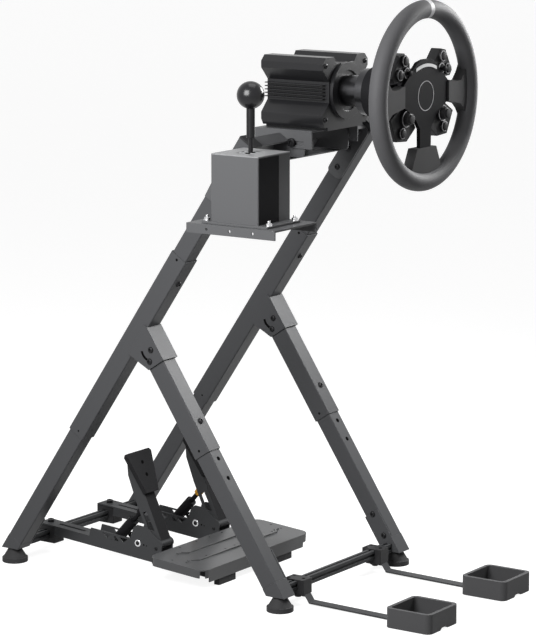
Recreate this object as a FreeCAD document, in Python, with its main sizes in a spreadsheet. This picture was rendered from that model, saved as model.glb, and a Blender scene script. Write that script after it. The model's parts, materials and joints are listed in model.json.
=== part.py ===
import FreeCAD, Part
import os
import re
import Sketcher

# Folding stand for a steering wheel motor, with pedals, a gear lever and two caster stops.
# The driver sits at -Y and looks along +Y, +X is the driver's right and the floor is Z = 0.
# The pieces are drawn about a point on the floor midway between the four feet, and are then moved as one
# so that the origin lies on the floor under the middle of the whole rig.

SIZES = {
    # Side frames: two posts that lean towards the driver and two struts that lean away.
    "foot_half_x": 192, "foot_half_y": 299, "foot_height": 27, "foot_radius": 24, "foot_rim": 9,
    "foot_neck_radius": 11, "post_lean": 34,
    "tube_width": 36.4, "tube_wall": 1.7, "tube_corner": 2.5, "slide_gap": 0.3, "sheet": 3,
    "post_low": 288, "post_length": 418, "upper_overlap": 206, "upper_reach": 253, "leg_overlap": 122,
    "strut_low": 281, "strut_leg_overlap": 110, "cap_height": 3, "hole_radius": 3.5, "hole_pitch": 37.5,
    "hole_start": 18,
    # Knuckle that carries the strut on the post.
    "pivot_along_post": 530.2, "pivot_stand_off": 28.6, "pivot_set": 7.5, "pivot_radius": 4, "pin_gap": 0.05,
    "knuckle_gap": 0.9, "knuckle_drop": 28, "knuckle_rear": 24.7, "knuckle_foot": 38, "knuckle_lap": 8,
    "lock_radius": 20.5, "lock_width": 5, "lock_sweep": 73, "lock_start": -29,
    # Brackets at the foot of each tube, cross bars and clamps.
    "shoe_height": 80, "shoe_seat": 24, "bar_width": 16, "bar_height": 35, "groove_width": 5, "groove_depth": 3,
    "clamp_width": 30, "clamp_depth": 40, "clamp_low": 18, "front_clamp_height": 27, "split_width": 2.5,
    "stud_radius": 4, "stud_end": 2,
    "front_clamp_x": 127, "rail_x": 91,
    # Caster stops that lie on the floor towards the driver.
    "stop_bar_width": 20, "stop_bar_lift": 0.5, "stop_bar_tail": 14, "stop_bar_bend": 8, "stop_bar_step": 11.5, "cup_distance": 211,
    "cup_width": 97, "cup_depth": 91, "cup_height": 35, "cup_wall": 7, "cup_floor": 4, "cup_corner": 11,
    "cup_arch_radius": 16, "cup_arch_height": 6,
    # Pedal bases: slotted channels that slope down from the rear bar to the heel plate.
    "rail_lean": 4.5, "rail_width": 36, "rail_height": 18, "rail_tail": 13, "rail_length": 408,
    "rail_slot_width": 7, "rail_slot_length": 62,
    "cheek_start": 104, "cheek_low_top": 34, "cheek_peak": 63, "cheek_peak_start": 105, "cheek_peak_length": 26,
    "cheek_tip_radius": 8, "cheek_window_start": 31, "cheek_window_length": 60, "cheek_window_low": 4,
    "cheek_window_high": 13,
    "pedal_pivot_back": 265, "pedal_pivot_up": 36.5, "pedal_pin_radius": 4, "pedal_tube_radius": 7,
    "damper_pin_back": 160, "damper_pin_up": 24, "damper_pin_radius": 4,
    "arm_lean": 24.3, "arm_width": 29, "arm_front": 6, "arm_rear": 19, "arm_top": 176, "arm_waist": 92,
    "arm_window_low": 26, "arm_window_high": 66, "arm_strip": 6,
    "arm_sheet": 2.5, "rod_pin_up": 76, "rod_pin_back": 12, "rod_pin_radius": 3, "rod_play": 1.3,
    "pad_top_width": 74, "pad_low_width": 38, "pad_height": 80, "pad_thick": 9, "pad_corner": 5,
    "damper_radius": 10, "damper_length": 46, "damper_eye_radius": 8, "damper_eye_width": 12, "rod_radius": 4.5,
    "rod_inside": 16,
    "heel_width": 344, "heel_depth": 124, "heel_fold": 16, "heel_back": 288, "heel_corner": 18,
    "heel_rib_height": 2.5, "heel_rib_width": 5, "heel_foot_x": 91, "heel_foot_width": 52, "heel_foot_depth": 12,
    "heel_lip": 9, "heel_jog": 10,
    # Deck for the motor.
    "deck_low": 835, "deck_height": 117, "deck_back": 18, "deck_front": 16, "deck_web_rise": 58, "deck_lip": 14, "deck_top_lip": 24,
    "ear_length": 84, "ear_drop": 16, "ear_corner": 6, "tray_width": 150, "tray_length": 120, "tray_reach": 99.6, "tray_height": 32,
    "tray_lift": 55.1,
    "tray_slot_width": 7, "tray_slot_length": 26, "tray_slot_rise": 9,
    # Motor: extruded housing with a narrow finned waist, and a front plate with a round boss.
    "motor_foot_height": 5.5, "motor_half_width": 72, "motor_half_height": 61, "motor_waist": 52,
    "motor_chamfer": 10, "motor_valley_half": 28, "motor_valley_depth": 12, "motor_shoulder": 22,
    "motor_overhang": 21, "motor_length": 130, "motor_plate": 8, "motor_foot_half": 56,
    "fin_depth": 9, "fin_thick": 1.8, "fin_pitch": 6, "boss_radius": 50, "boss_height": 6, "boss_recess": 36,
    "boss_recess_depth": 3,
    # Steering wheel.
    "shaft_radius": 27.5, "shaft_inside": 18, "shaft_length": 38, "coupler_radius": 41, "coupler_length": 16,
    "hub_radius": 45, "wheel_radius": 165, "grip_radius": 16.2, "hub_length": 98, "hub_plate": 7, "hub_plate_back": 4,
    "hub_half_width": 72, "hub_top": 63, "hub_side_top": 23, "hub_side_low": 14, "hub_neck": 35, "hub_neck_low": 36,
    "spoke_thick": 19, "spoke_proud": 3, "spoke_half": 19, "spoke_flare": 20,
    "low_spoke_half": 18, "low_spoke_end": 89, "low_grip_half": 31, "low_grip_flare": 60, "rim_gap": 0.2,
    "pod_thick": 20, "pod_out": 98, "pod_top": 79, "pod_inner": 27, "pod_low_out": 103, "pod_low": 75,
    "paddle_width": 78, "paddle_height": 44, "paddle_thick": 3, "paddle_x": 77, "paddle_lift": 26,
    # Shelf and gear shifter, outboard of the left post.
    "shelf_width": 127, "shelf_along": 809, "shelf_set_back": 50.6, "shelf_length": 181, "shelf_fold": 16.5, "shelf_hole_radius": 2.5,
    "gusset_height": 89.5, "gusset_reach": 106,
    "base_width": 101, "base_length": 135, "base_thick": 4, "base_set_back": 25.3,
    "case_width": 96.3, "case_length": 96.6, "case_height": 113.5, "case_wall": 2, "case_inset": 58.7,
    "case_set_back": 92, "gate_thick": 2, "gate_width": 11, "gate_side": 15, "gate_fore": 24,
    "lever_pivot_up": 54.4, "cross_radius": 5, "cross_block": 9, "fork_gap": 0.3, "fork_width": 7,
    "stick_radius": 4, "grip_rod_radius": 7.2, "grip_rod_lift": 24.5, "knob_radius": 23.5, "grip_rod_length": 72,
}

doc = FreeCAD.newDocument("SimRacingRig")
sheet = doc.addObject("Spreadsheet::Sheet", "Sizes")
for row, (alias, value) in enumerate(SIZES.items(), start=1):
    sheet.set(f"A{row}", alias)
    sheet.set(f"B{row}", str(value))
    sheet.setAlias(f"B{row}", alias)
doc.recompute()

layout = doc.addObject("App::VarSet", "Layout")
places = set()


def tied(text):
    """An expression over the sheet's aliases and the layout's places."""
    def prefixed(match):
        word = match.group(0)
        if word in SIZES:
            return f"Sizes.{word}"
        return f"Layout.{word}" if word in places else word
    return re.sub(r"[A-Za-z_]\w*", prefixed, str(text))


def place(name, text):
    """A place that is worked out from the driving sizes."""
    layout.addProperty("App::PropertyFloat", name)
    layout.setExpression(name, tied(text))
    places.add(name)


def put(piece, at, lean="0", axis=(1, 0, 0)):
    """Stand a piece at a point, turned about an axis."""
    x, y, z = (tied(value) for value in at)
    turn = f"create(<<rotation>>; create(<<vector>>; {axis[0]}; {axis[1]}; {axis[2]}); {tied(lean)})"
    piece.setExpression("Placement", f"create(<<placement>>; create(<<vector>>; {x}; {y}; {z}); {turn})")
    return piece


def block(size, low):
    """A box by its three sides and its lowest corner."""
    piece = doc.addObject("Part::Box", "Block")
    for side, text in zip(("Length", "Width", "Height"), size):
        piece.setExpression(side, tied(text))
    return put(piece, low)


def bar(radius, length, at, axis="z"):
    """A round bar that starts at a point and runs along an axis."""
    piece = doc.addObject("Part::Cylinder", "Bar")
    piece.setExpression("Radius", tied(radius))
    piece.setExpression("Height", tied(length))
    turns = {"z": ("0", (1, 0, 0)), "x": ("90", (0, 1, 0)), "y": ("-90", (1, 0, 0))}
    lean, about = turns[axis]
    return put(piece, at, lean, about)


def cut(base, *tools):
    for tool in tools:
        piece = doc.addObject("Part::Cut", "Cut")
        piece.Base = base
        piece.Tool = tool
        base = piece
    return base


def join(*shapes):
    piece = doc.addObject("Part::MultiFuse", "Join")
    piece.Shapes = list(shapes)
    return piece


def whole(piece):
    """The piece in a frame of its own, so that it can be placed again as one."""
    frame = doc.addObject("Part::Compound", "Whole")
    frame.Links = [piece]
    return frame


def outline(plane, points, depth, start="0", about=None):
    """A flat outline with bound corners, extruded along the plane's normal."""
    sketch = doc.addObject("Sketcher::SketchObject", "Outline")
    turns = {"XY": (0, 0, 0, 1), "XZ": (0.7071067811865476, 0, 0, 0.7071067811865476), "YZ": (0.5, 0.5, 0.5, 0.5)}
    normals = {"XY": (0, 0, 1), "XZ": (0, 1, 0), "YZ": (1, 0, 0)}
    normal = FreeCAD.Vector(*normals[plane])
    sketch.Placement = FreeCAD.Placement(FreeCAD.Vector(), FreeCAD.Rotation(*turns[plane]))
    count = len(points)
    rough = [FreeCAD.Vector(*(doc.Layout.evalExpression(tied(value)) for value in point)) for point in points]
    for index in range(count):
        sketch.addGeometry(Part.LineSegment(rough[index], rough[(index + 1) % count]))
    for index in range(count):
        sketch.addConstraint(Sketcher.Constraint("Coincident", index, 2, (index + 1) % count, 1))
    for index, point in enumerate(points):
        for kind, axis, value in (("DistanceX", 0, point[0]), ("DistanceY", 1, point[1])):
            number = sketch.addConstraint(Sketcher.Constraint(kind, -1, 1, index, 1, rough[index][axis]))
            sketch.setExpression(f"Constraints[{number}]", tied(value))
    piece = doc.addObject("Part::Extrusion", "Extrusion")
    piece.Base = sketch
    piece.DirMode = "Custom"
    piece.Dir = normal
    piece.Solid = True
    piece.setExpression("LengthFwd", tied(depth))
    shift = [f"({start})" if normal[axis] else "0" for axis in range(3)]
    return put(piece, shift)


def rounded(base, radius, upright):
    """Round the edges that run along one axis."""
    doc.recompute()
    piece = doc.addObject("Part::Fillet", "Rounded")
    piece.Base = base
    size = value_of(radius)
    edges = []
    for number, edge in enumerate(base.Shape.Edges, start=1):
        along = edge.tangentAt(edge.FirstParameter)
        if edge.Curve.TypeId == "Part::GeomLine" and abs(along.dot(FreeCAD.Vector(*upright))) > 0.999:
            edges.append((number, size, size))
    piece.Edges = edges
    return piece


def value_of(text):
    return float(doc.Layout.evalExpression(tied(text)))


def mirrored(piece):
    """The same piece on the other side of the middle plane."""
    other = doc.addObject("Part::Mirroring", "Mirrored")
    other.Source = piece
    other.Normal = (1, 0, 0)
    return other


subparts = []


def subpart(name, piece):
    moved = put(whole(piece), ("centre_x", "centre_y", "0"))
    moved.Label = name
    subparts.append(moved)
    return moved


def pair(name, piece):
    """A right piece and its left copy as one named node."""
    both = doc.addObject("Part::Compound", "Both")
    both.Links = [piece, mirrored(piece)]
    return subpart(name, both)


def on_post(piece):
    return put(whole(piece), ("foot_half_x", "foot_half_y", "foot_height"), "post_lean")


def on_strut(piece):
    return put(whole(piece), ("foot_half_x", "-foot_half_y", "foot_height"), "-strut_lean")


def square_tube(width, wall, low, length):
    """A square tube with rounded corners, centred on its own axis."""
    shell = block((width, width, length), (f"-({width})/2", f"-({width})/2", low))
    bore = block((f"({width})-2*({wall})", f"({width})-2*({wall})", length),
                 (f"({wall})-({width})/2", f"({wall})-({width})/2", low))
    return cut(rounded(shell, "tube_corner", (0, 0, 1)), bore)


place("inner_width", "tube_width - 2*tube_wall - 2*slide_gap")
place("half_tube", "tube_width/2")
place("half_inner", "inner_width/2")
place("post_top", "post_low + post_length")
place("pivot_out", "half_tube + pivot_stand_off")
place("pivot_y", "foot_half_y - pivot_out*cos(post_lean) - pivot_along_post*sin(post_lean)")
place("pivot_z", "foot_height - pivot_out*sin(post_lean) + pivot_along_post*cos(post_lean)")
place("pivot_span", "sqrt((pivot_y + foot_half_y)^2 + (pivot_z - foot_height)^2)")
place("strut_lean", "atan2(pivot_y + foot_half_y; pivot_z - foot_height) + asin(pivot_set/pivot_span)")
place("fold", "post_lean + strut_lean")
place("pivot_up_strut", "sqrt(pivot_span^2 - pivot_set^2)")
place("knuckle_half", "half_tube + slide_gap + sheet")
place("shoe_half", "half_inner + slide_gap + sheet")
place("rear_bar_y", "foot_half_y - (bar_height - foot_height)*tan(post_lean)")
place("front_bar_y", "-foot_half_y + (bar_height - foot_height)*tan(strut_lean)")
place("rail_seat", "clamp_low + front_clamp_height - 8")
place("cup_back", "front_bar_y - cup_distance")
place("deck_high", "deck_low + deck_height")
place("deck_web_low", "deck_low + deck_web_rise")
place("tray_top", "foot_height + deck_back*sin(post_lean) + deck_web_low*cos(post_lean) + tray_lift")
place("tray_front", "deck_web_low*sin(post_lean) - deck_back*cos(post_lean) - foot_half_y + tray_reach")
place("motor_axis_height", "tray_top + motor_foot_height + motor_half_height")
place("motor_front", "tray_front + motor_overhang")
place("wheel_front", "motor_front + boss_height + shaft_length + coupler_length + hub_length + hub_plate_back")
place("shelf_out", "foot_half_x + half_inner + shelf_width")
place("shelf_top", "foot_height + shelf_along*cos(post_lean)")
place("shelf_back", "shelf_along*sin(post_lean) - foot_half_y + shelf_set_back")
place("case_centre_x", "shelf_out - case_inset")
place("case_centre_y", "shelf_back + case_set_back")
place("case_low", "shelf_top + base_thick")
place("gate_low", "case_low + case_height")
place("lever_pivot_height", "case_low + lever_pivot_up")
place("grip_rod_low", "gate_low + gate_thick + grip_rod_lift")
place("knob_height", "grip_rod_low + grip_rod_length")
place("centre_x", "(shelf_out - foot_half_x - foot_radius)/2")
place("centre_y", "(cup_depth - cup_back - foot_half_y - foot_radius)/2")


# Posts, upper tubes, leg tubes and their caps
pair("post_tubes", on_post(square_tube("tube_width", "tube_wall", "post_low", "post_length")))
pair("upper_tubes", on_post(square_tube("inner_width", "tube_wall", "post_top - upper_overlap",
                                        "upper_overlap + upper_reach")))
cap = block(("inner_width", "inner_width", "cap_height"), ("-half_inner", "-half_inner", "post_top + upper_reach"))
pair("tube_caps", on_post(rounded(cap, "tube_corner", (0, 0, 1))))
pair("leg_tubes", on_post(square_tube("inner_width", "tube_wall", "shoe_seat", "post_low + leg_overlap - shoe_seat")))


def knuckle():
    """Two cheeks welded to the post and a web in front of the strut, with the pivot pin between them."""
    front = "(half_tube - pivot_set + knuckle_gap + sheet)"

    def seen_from_post(across, up):
        return (f"-pivot_out + ({across})*cos(fold) + ({up})*sin(fold)",
                f"pivot_along_post - ({across})*sin(fold) + ({up})*cos(fold)")

    meet = f"((pivot_out - half_tube + {front}*cos(fold))/sin(fold))"
    corners = [("knuckle_lap - half_tube", "pivot_along_post - knuckle_foot"),
               ("-half_tube", "pivot_along_post - knuckle_foot"),
               seen_from_post("knuckle_rear", "-knuckle_drop"),
               seen_from_post(f"-{front}", "-knuckle_drop"),
               seen_from_post(f"-{front}", meet),
               ("knuckle_lap - half_tube", f"pivot_along_post + {front}*sin(fold) + {meet}*cos(fold)")]
    shell = outline("YZ", corners, "2*knuckle_half", "-knuckle_half")
    room = block(("2*(half_tube + slide_gap)", "200", "400"),
                 ("-half_tube - slide_gap", "0", "-200"))
    put(room, ("-half_tube - slide_gap",
               "-pivot_out - (half_tube - pivot_set + knuckle_gap)*cos(fold) - 200*sin(fold)",
               "pivot_along_post + (half_tube - pivot_set + knuckle_gap)*sin(fold) - 200*cos(fold)"), "-fold")
    sweep = bar("lock_radius + lock_width/2", "4*knuckle_half", ("-2*knuckle_half", "0", "0"), "x")
    sweep.setExpression("Angle", tied("lock_sweep"))
    core = bar("lock_radius - lock_width/2", "4*knuckle_half", ("-2*knuckle_half", "0", "0"), "x")
    lock = put(whole(cut(sweep, core)), ("0", "-pivot_out", "pivot_along_post"), "lock_start")
    pin = bar("pivot_radius", "2*knuckle_half", ("-knuckle_half", "-pivot_out", "pivot_along_post"), "x")
    post = block(("2*(half_tube + slide_gap)", "2*tube_width", "2*pivot_along_post"),
                 ("-half_tube - slide_gap", "-half_tube", "0"))
    return join(cut(shell, room, post, lock), pin)


pair("knuckle_brackets", on_post(knuckle()))


def strut():
    """The strut's outer tube, with a closed top and a round head on the pivot, which lies ahead of its axis."""
    body = square_tube("tube_width", "tube_wall", "strut_low", "pivot_up_strut - strut_low - half_tube")
    neck = block(("tube_width", "tube_width", "half_tube"),
                 ("-half_tube", "-half_tube", "pivot_up_strut - half_tube"))
    head = bar("half_tube - pivot_set", "tube_width", ("-half_tube", "-pivot_set", "pivot_up_strut"), "x")
    hole = bar("pivot_radius + pin_gap", "2*tube_width", ("-tube_width", "-pivot_set", "pivot_up_strut"), "x")
    return cut(join(body, neck, head), hole)


pair("strut_tubes", on_strut(put(strut(), ("0", "0", "0"))))


def strut_leg():
    """The strut's inner tube, with a row of pin holes in its driver side."""
    leg = square_tube("inner_width", "tube_wall", "shoe_seat", "strut_low + strut_leg_overlap - shoe_seat")
    for number in range(-1, 3):
        height = f"strut_low - hole_start - hole_pitch + {number + 1}*hole_pitch"
        leg = cut(leg, bar("hole_radius", "half_inner", ("0", "-inner_width", height), "y"))
    return leg


pair("strut_legs", on_strut(put(whole(strut_leg()), ("0", "0", "0"))))


def shoe(stand):
    """A plug under a tube, cut level over its foot, with a plate up the tube's inner side."""
    plug = block(("2*half_inner + slide_gap", "inner_width", "shoe_seat + 60"),
                 ("-half_inner - slide_gap", "-half_inner", "-60"))
    plate = block(("sheet", "inner_width", "shoe_height + 60"), ("-shoe_half", "-half_inner", "-60"))
    leaning = stand(join(plug, plate))
    ground = block(("400", "400", "200"), ("foot_half_x - 200", "0", "foot_height - 200"))
    side = "foot_half_y" if stand is on_post else "-foot_half_y"
    put(ground, ("foot_half_x - 200", f"{side} - 200", "foot_height - 200"))
    return cut(leaning, ground)


pair("leg_shoes", shoe(on_post))
pair("strut_shoes", shoe(on_strut))


def foot(y):
    rim = bar("foot_radius", "foot_rim", ("foot_half_x", y, "0"))
    cone = doc.addObject("Part::Cone", "Cone")
    cone.setExpression("Radius1", tied("foot_radius - 2"))
    cone.setExpression("Radius2", tied("foot_neck_radius"))
    cone.setExpression("Height", tied("foot_height - foot_rim"))
    put(cone, ("foot_half_x", y, "foot_rim"))
    return join(rim, cone)


pair("rear_feet", foot("foot_half_y"))
pair("front_feet", foot("-foot_half_y"))


def cross_bar(y):
    """A square bar with a groove on its top and on its driver side."""
    length = "2*(foot_half_x - shoe_half)"
    body = block((length, "bar_width", "bar_width"), ("shoe_half - foot_half_x", f"{y} - bar_width/2",
                                                      "bar_height - bar_width/2"))
    top = block((length, "groove_width", "groove_depth"),
                ("shoe_half - foot_half_x", f"{y} - groove_width/2", "bar_height + bar_width/2 - groove_depth"))
    face = block((length, "groove_depth", "groove_width"),
                 ("shoe_half - foot_half_x", f"{y} - bar_width/2", "bar_height - groove_width/2"))
    return cut(body, top, face)


subpart("rear_bar", cross_bar("rear_bar_y"))
subpart("front_bar", cross_bar("front_bar_y"))


def clamp(x, y, height):
    """A split block that grips the cross bar."""
    body = block(("clamp_width", "clamp_depth", height), (f"{x} - clamp_width/2", f"{y} - clamp_depth/2", "clamp_low"))
    bore = block(("2*clamp_width", "bar_width + 2*pin_gap", "bar_width + 2*pin_gap"),
                 (f"{x} - clamp_width", f"{y} - bar_width/2 - pin_gap", "bar_height - bar_width/2 - pin_gap"))
    split = block(("2*clamp_width", "clamp_depth", "split_width"), (f"{x} - clamp_width", y, "bar_height - split_width/2"))
    return cut(rounded(body, "tube_corner", (0, 0, 1)), bore, split)


stud = bar("stud_radius", "sheet + stud_end + 6", ("front_clamp_x", "front_bar_y", "clamp_low - sheet - stud_end"))
pair("front_clamps", join(clamp("front_clamp_x", "front_bar_y", "front_clamp_height"), stud))


# Caster stops


def stop_bar():
    """A flat bar that is screwed under the clamp, steps down and slopes to the cup."""
    high, low, step = "clamp_low", "stop_bar_lift + sheet", "clamp_low - stop_bar_step"
    bend = "front_bar_y - clamp_depth/2"
    side = [("front_bar_y + stop_bar_tail", high), (bend, high), (f"{bend} - stop_bar_bend", step), ("cup_back", low),
            ("cup_back", "stop_bar_lift"), (f"{bend} - stop_bar_bend - sheet/2", f"{step} - sheet"),
            (f"{bend} - sheet/2", "clamp_low - sheet"), ("front_bar_y + stop_bar_tail", "clamp_low - sheet")]
    hole = bar("stud_radius + pin_gap", "4*sheet", ("front_clamp_x", "front_bar_y", "clamp_low - 3*sheet"))
    return cut(outline("YZ", side, "stop_bar_width", "front_clamp_x - stop_bar_width/2"), hole)


def stop_cup():
    """A square rubber cup with thick walls and an arch under its driver side."""
    left = "front_clamp_x - cup_width/2"
    body = block(("cup_width", "cup_depth", "cup_height"), (left, "cup_back - cup_depth", "0"))
    well = block(("cup_width - 2*cup_wall", "cup_depth - 2*cup_wall", "cup_height"),
                 (f"{left} + cup_wall", "cup_back - cup_depth + cup_wall", "cup_floor"))
    arch = bar("cup_arch_radius", "2*cup_wall", ("front_clamp_x", "cup_back - cup_depth - cup_wall",
                                                 "cup_arch_height - cup_arch_radius"), "y")
    return cut(rounded(body, "cup_corner", (0, 0, 1)), rounded(well, "cup_corner - 4", (0, 0, 1)), arch)


bar_right, cup_right = stop_bar(), stop_cup()
subpart("right_stop_bar", bar_right)
subpart("right_stop_cup", cup_right)
subpart("left_stop_bar", mirrored(bar_right))
subpart("left_stop_cup", mirrored(cup_right))


# Pedals, each on a frame of its own that slopes with its channel
def on_rail(piece):
    return put(whole(piece), ("rail_x", "rear_bar_y", "rail_seat"), "rail_lean")


def pedal_base():
    """A folded channel with a slotted tail and two cheeks that hold the pedal and damper pins."""
    half = "rail_width/2"
    body = block(("rail_width", "rail_length", "rail_height"), (f"-{half}", "rail_tail - rail_length", "0"))
    hollow = block(("rail_width - 2*arm_sheet", "rail_length + 2", "rail_height - arm_sheet"),
                   (f"arm_sheet - {half}", "rail_tail - rail_length - 1", "0"))
    slot = block(("rail_slot_width", "rail_slot_length", "2*rail_height"),
                 ("-rail_slot_width/2", "-rail_slot_length - clamp_depth/2", "-rail_height/2"))
    arm_room = block(("arm_width + 1", "64", "2*rail_height"), ("-arm_width/2 - 0.5", "-pedal_pivot_back - 14", "1"))
    damper_room = block(("2*damper_radius + 4", "66", "2*rail_height"),
                        ("-damper_radius - 2", "-damper_pin_back - 50", "1"))
    tail = block(("2*rail_width", "rail_tail + clamp_depth/2 + 3", "rail_height - arm_sheet"),
                 ("-rail_width", "-clamp_depth/2 - 2", "0"))
    channel = cut(body, hollow, slot, arm_room, damper_room, tail)
    peak = "-cheek_start - cheek_peak_start"
    tip = "-pedal_pivot_back - cheek_tip_radius*0.8"
    side = [("-cheek_start", "rail_height - 1"), ("-cheek_start - 3", "cheek_low_top"),
            (f"{peak} + 10", "cheek_low_top"), (f"{peak} + 4", "cheek_peak - 6"), (f"{peak} - 4", "cheek_peak"),
            (f"{peak} - cheek_peak_length", "cheek_peak"), (tip, "pedal_pivot_up + cheek_tip_radius*0.6"),
            (tip, "rail_height - 1")]
    cheeks = outline("YZ", side, "rail_width", f"-{half}")
    nose = bar("cheek_tip_radius", "rail_width", (f"-{half}", "-pedal_pivot_back", "pedal_pivot_up"), "x")
    between = block(("rail_width - 2*arm_sheet", "400", "2*cheek_peak"),
                    (f"arm_sheet - {half}", "-400", "rail_height - arm_sheet/2"))
    sides = cut(join(cheeks, nose), between)
    back = "-cheek_start - cheek_window_start"
    low, high = "rail_height + cheek_window_low", "rail_height + cheek_window_high"
    step = "cheek_window_length/3"
    for number in range(3):
        wide, narrow = (high, low) if number != 1 else (low, high)
        start = f"{back} - {number}*{step}*0.96"
        corners = [(start, wide), (f"{start} - {step}", wide), (f"{start} - {step}/2", narrow)]
        sides = cut(sides, outline("YZ", corners, "2*rail_width", "-rail_width"))
    pedal_pin = bar("pedal_pin_radius", "rail_width", (f"-{half}", "-pedal_pivot_back", "pedal_pivot_up"), "x")
    damper_pin = bar("damper_pin_radius", "rail_width", (f"-{half}", "-damper_pin_back", "damper_pin_up"), "x")
    return join(channel, sides, pedal_pin, damper_pin)


above = on_rail(block(("2*clamp_width", "2*clamp_depth", "rail_width"),
                      ("-clamp_width", "-clamp_depth", "rail_height - arm_sheet")))
pair("rear_clamps", cut(clamp("rail_x", "rear_bar_y", "rail_seat + rail_height - clamp_low"), above))
base_right = on_rail(pedal_base())
subpart("throttle_base", base_right)
subpart("brake_base", mirrored(base_right))

place("pedal_y", "rear_bar_y - pedal_pivot_back*cos(rail_lean) - pedal_pivot_up*sin(rail_lean)")
place("pedal_z", "rail_seat - pedal_pivot_back*sin(rail_lean) + pedal_pivot_up*cos(rail_lean)")


def on_pedal(piece):
    return put(whole(piece), ("rail_x", "pedal_y", "pedal_z"), "-arm_lean")


def pedal_arm():
    """A folded arm: two tapered cheeks joined by a front sheet, a bored pivot tube and the damper's pin."""
    half = "arm_width/2"
    side = [("-arm_front", "-2"), ("4", "-pedal_tube_radius + 1"), ("arm_rear", "18"), ("arm_rear", "arm_waist"),
            ("arm_rear - 3", "arm_top - 36"), ("-arm_front + 9", "arm_top"), ("-arm_front", "arm_top")]
    body = outline("YZ", side, "arm_width", f"-{half}")
    inside = block(("arm_width - 2*arm_sheet", "arm_front + arm_rear", "2*arm_top"),
                   (f"arm_sheet - {half}", "arm_sheet - arm_front", "-arm_top/2"))
    window = outline("YZ", [("arm_strip + 1 - arm_front", "arm_window_low"), ("arm_rear - arm_strip", "arm_window_low + 6"),
                            ("arm_rear - arm_strip", "arm_window_high"), ("arm_strip + 4 - arm_front", "arm_window_high")],
                     "2*arm_width", "-arm_width")
    tube = bar("pedal_tube_radius", "arm_width", (f"-{half}", "0", "0"), "x")
    bore = bar("pedal_pin_radius + pin_gap", "2*arm_width", ("-arm_width", "0", "0"), "x")
    pin = bar("rod_pin_radius", "arm_width", (f"-{half}", "rod_pin_back", "rod_pin_up"), "x")
    return cut(join(cut(body, inside, window), tube, pin), bore)


def pedal_pad():
    """A tapered pad on the front of the arm."""
    top, low = "arm_top", "arm_top - pad_height"
    face = [("-pad_low_width/2", low), ("pad_low_width/2", low), ("pad_top_width/2", f"{top} - pad_corner"),
            ("pad_top_width/2 - pad_corner", top), ("-pad_top_width/2 + pad_corner", top),
            ("-pad_top_width/2", f"{top} - pad_corner")]
    return outline("XZ", face, "pad_thick", "-arm_front - pad_thick")


for name, maker in (("arm", pedal_arm), ("pad", pedal_pad)):
    right = on_pedal(maker())
    subpart(f"throttle_{name}", right)
    subpart(f"brake_{name}", mirrored(right))

place("damper_y", "rear_bar_y - damper_pin_back*cos(rail_lean) - damper_pin_up*sin(rail_lean)")
place("damper_z", "rail_seat - damper_pin_back*sin(rail_lean) + damper_pin_up*cos(rail_lean)")
place("rod_pin_y", "pedal_y + rod_pin_back*cos(arm_lean) + rod_pin_up*sin(arm_lean)")
place("rod_pin_z", "pedal_z - rod_pin_back*sin(arm_lean) + rod_pin_up*cos(arm_lean)")
place("damper_span", "sqrt((rod_pin_y - damper_y)^2 + (rod_pin_z - damper_z)^2)")
place("damper_lean", "atan2(damper_y - rod_pin_y; rod_pin_z - damper_z)")


def on_damper(piece):
    return put(whole(piece), ("rail_x", "damper_y", "damper_z"), "damper_lean")


def damper_body():
    eye = bar("damper_eye_radius", "damper_eye_width", ("-damper_eye_width/2", "0", "0"), "x")
    barrel = bar("damper_radius", "damper_length", ("0", "0", "damper_eye_radius - 2"))
    bore = bar("damper_pin_radius + pin_gap", "2*damper_eye_width", ("-damper_eye_width", "0", "0"), "x")
    well = bar("rod_radius + pin_gap", "damper_length", ("0", "0", "damper_eye_radius + 4"))
    return cut(join(eye, barrel), bore, well)


def damper_rod():
    mouth = "(damper_eye_radius - 2 + damper_length)"
    rod = bar("rod_radius", f"damper_span - {mouth} + rod_inside - 4", ("0", "0", f"{mouth} - rod_inside"))
    eye = bar("rod_pin_radius + rod_play + 3", "damper_eye_width", ("-damper_eye_width/2", "0", "damper_span"), "x")
    bore = bar("rod_pin_radius + rod_play", "2*damper_eye_width", ("-damper_eye_width", "0", "damper_span"), "x")
    return cut(join(rod, eye), bore)


for name, maker in (("damper", damper_body), ("damper_rod", damper_rod)):
    right = on_damper(maker())
    subpart(f"throttle_{name}", right)
    subpart(f"brake_{name}", mirrored(right))


def heel_plate():
    """A folded tray, turned over on the front ends of both pedal channels."""
    left, front = "-rail_x - heel_width/2", "-heel_back - heel_depth"
    shell = block(("heel_width", "heel_depth", "heel_fold"), (left, front, "rail_height"))
    hollow = block(("heel_width - 2*arm_sheet", "heel_depth - 2*arm_sheet", "heel_fold - arm_sheet"),
                   (f"{left} + arm_sheet", f"{front} + arm_sheet", "rail_height"))
    lip = block(("heel_width - 2*heel_corner - 6", "arm_sheet", "heel_lip + 1"),
                (f"{left} + heel_corner + 3", front, "rail_height - heel_lip"))
    ribs = []
    for share, reach in ((0.34, 0.42), (0.66, 0.36)):
        line = f"{front} + heel_depth*{share}"
        out, bend = f"heel_width*{reach}", f"heel_width*{reach} - 2*heel_jog"
        edge = [(out, f"{line} + heel_jog"), (f"{bend} + heel_jog", f"{line} + heel_jog"), (bend, line)]
        back = [(x, f"{y} + heel_rib_width") for x, y in reversed(edge)]
        right, rear = [(f"{x} - rail_x", y) for x, y in edge], [(f"{x} - rail_x", y) for x, y in back]
        other = [(f"-({x}) - rail_x", y) for x, y in reversed(edge)]
        other_rear = [(f"-({x}) - rail_x", y) for x, y in reversed(back)]
        ribs.append(outline("XY", right + other + other_rear + rear, "heel_rib_height", "rail_height + heel_fold"))
    return join(cut(rounded(shell, "heel_corner", (0, 0, 1)), hollow), lip, *ribs)


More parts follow.
